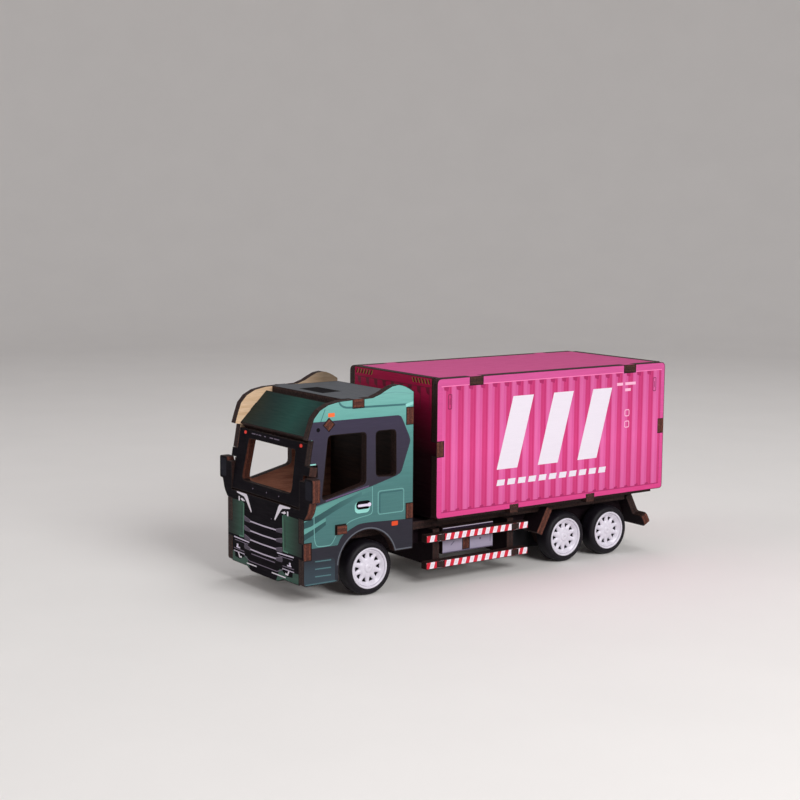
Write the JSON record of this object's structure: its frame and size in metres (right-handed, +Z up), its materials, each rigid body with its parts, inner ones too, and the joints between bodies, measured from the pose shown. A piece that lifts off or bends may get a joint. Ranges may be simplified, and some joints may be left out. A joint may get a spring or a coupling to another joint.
{
  "type": "wooden 3d jigsaw lorry model",
  "caption": "Push-fit plywood container lorry: a printed cab and box container on a laser-cut chassis, with rolling wheels and a pull-back spring motor.",
  "frame": {"origin": "on the ground, midway between the mirror ears and midway between the front panel and the container's rear edge", "axes": "+Z up, -Y the way the lorry faces, +X its left side; the longest extent lies along Y"},
  "size_m": [0.064, 0.169, 0.076],
  "materials": {
    "printed_teal_ply": "satin print on plywood, charred edges",
    "printed_black_ply": "satin print on plywood, charred edges",
    "printed_green_ply": "satin print on plywood, charred edges",
    "printed_grey_ply": "satin print on plywood, charred edges",
    "printed_pink_ply": "satin print on plywood, charred edges",
    "printed_hazard_ply": "satin print on plywood, charred edges",
    "printed_silver_ply": "satin print on plywood, charred edges",
    "bare_ply": "bare birch plywood",
    "dark_ply": "dark printed plywood, brown laser-cut edges",
    "tyre": "matte",
    "rim_plastic": "gloss",
    "steel": "drawn",
    "nylon": "moulded",
    "housing_plastic": "moulded"
  },
  "bodies": {
    "truck": {"cab_side_left": "printed_teal_ply", "container_side_left": "printed_pink_ply", "chassis_rail_left": "dark_ply", "side_guard_upper_left": "printed_hazard_ply", "side_guard_lower_left": "printed_hazard_ply", "toolbox_panel_left": "printed_silver_ply", "mudflap_left": "dark_ply", "motor_housing_left": "housing_plastic", "cab_side_right": "printed_teal_ply", "container_side_right": "printed_pink_ply", "chassis_rail_right": "dark_ply", "side_guard_upper_right": "printed_hazard_ply", "side_guard_lower_right": "printed_hazard_ply", "toolbox_panel_right": "printed_silver_ply", "mudflap_right": "dark_ply", "motor_housing_right": "housing_plastic", "cab_front_panel": "printed_black_ply", "cab_windscreen_panel": "printed_black_ply", "cab_visor": "printed_green_ply", "cab_roof": "printed_grey_ply", "cab_rear_panel": "printed_black_ply", "cab_floor": "bare_ply", "container_roof": "printed_pink_ply", "container_front_wall": "printed_pink_ply", "container_rear_wall": "printed_pink_ply", "container_floor": "dark_ply", "chassis_deck": "dark_ply", "side_guard_bracket_front": "dark_ply", "side_guard_bracket_rear": "dark_ply", "toolbox_bracket": "dark_ply", "rear_bumper_plate": "dark_ply", "motor_idler_pin": "steel", "motor_drum_pin": "steel"},
    "front_wheels": {"front_axle": "steel", "front_tyre_left": "tyre", "front_tyre_right": "tyre", "front_rim_left": "rim_plastic", "front_rim_right": "rim_plastic"},
    "drive_wheels": {"drive_axle": "steel", "drive_tyre_left": "tyre", "drive_tyre_right": "tyre", "drive_rim_left": "rim_plastic", "drive_rim_right": "rim_plastic", "motor_axle_pinion": "nylon"},
    "rear_wheels": {"rear_axle": "steel", "rear_tyre_left": "tyre", "rear_tyre_right": "tyre", "rear_rim_left": "rim_plastic", "rear_rim_right": "rim_plastic"},
    "idler": {"motor_idler_gear": "nylon"},
    "spring_drum": {"motor_spring_drum": "nylon", "motor_mainspring": "steel"}
  },
  "joints": [
    {"name": "front_axle_spin", "type": "hinge", "parent": "truck", "child": "front_wheels", "pos_m": [0, -0.0556, 0.00975], "axis": [1, 0, 0], "continuous": true},
    {"name": "drive_axle_spin", "type": "hinge", "parent": "truck", "child": "drive_wheels", "pos_m": [0, 0.0368, 0.00975], "axis": [1, 0, 0], "continuous": true},
    {"name": "rear_axle_spin", "type": "hinge", "parent": "truck", "child": "rear_wheels", "pos_m": [0, 0.0596, 0.00975], "axis": [1, 0, 0], "continuous": true},
    {"name": "idler_spin", "type": "hinge", "parent": "truck", "child": "idler", "pos_m": [0, 0.0297, 0.01095], "axis": [1, 0, 0], "continuous": true},
    {"name": "drum_spin", "type": "hinge", "parent": "truck", "child": "spring_drum", "pos_m": [0, 0.0222, 0.01215], "axis": [1, 0, 0], "continuous": true}
  ],
  "couplings": [
    {"joint": "idler_spin", "follows": "drive_axle_spin", "ratio": -0.5},
    {"joint": "drum_spin", "follows": "drive_axle_spin", "ratio": 0.17857}
  ]
}
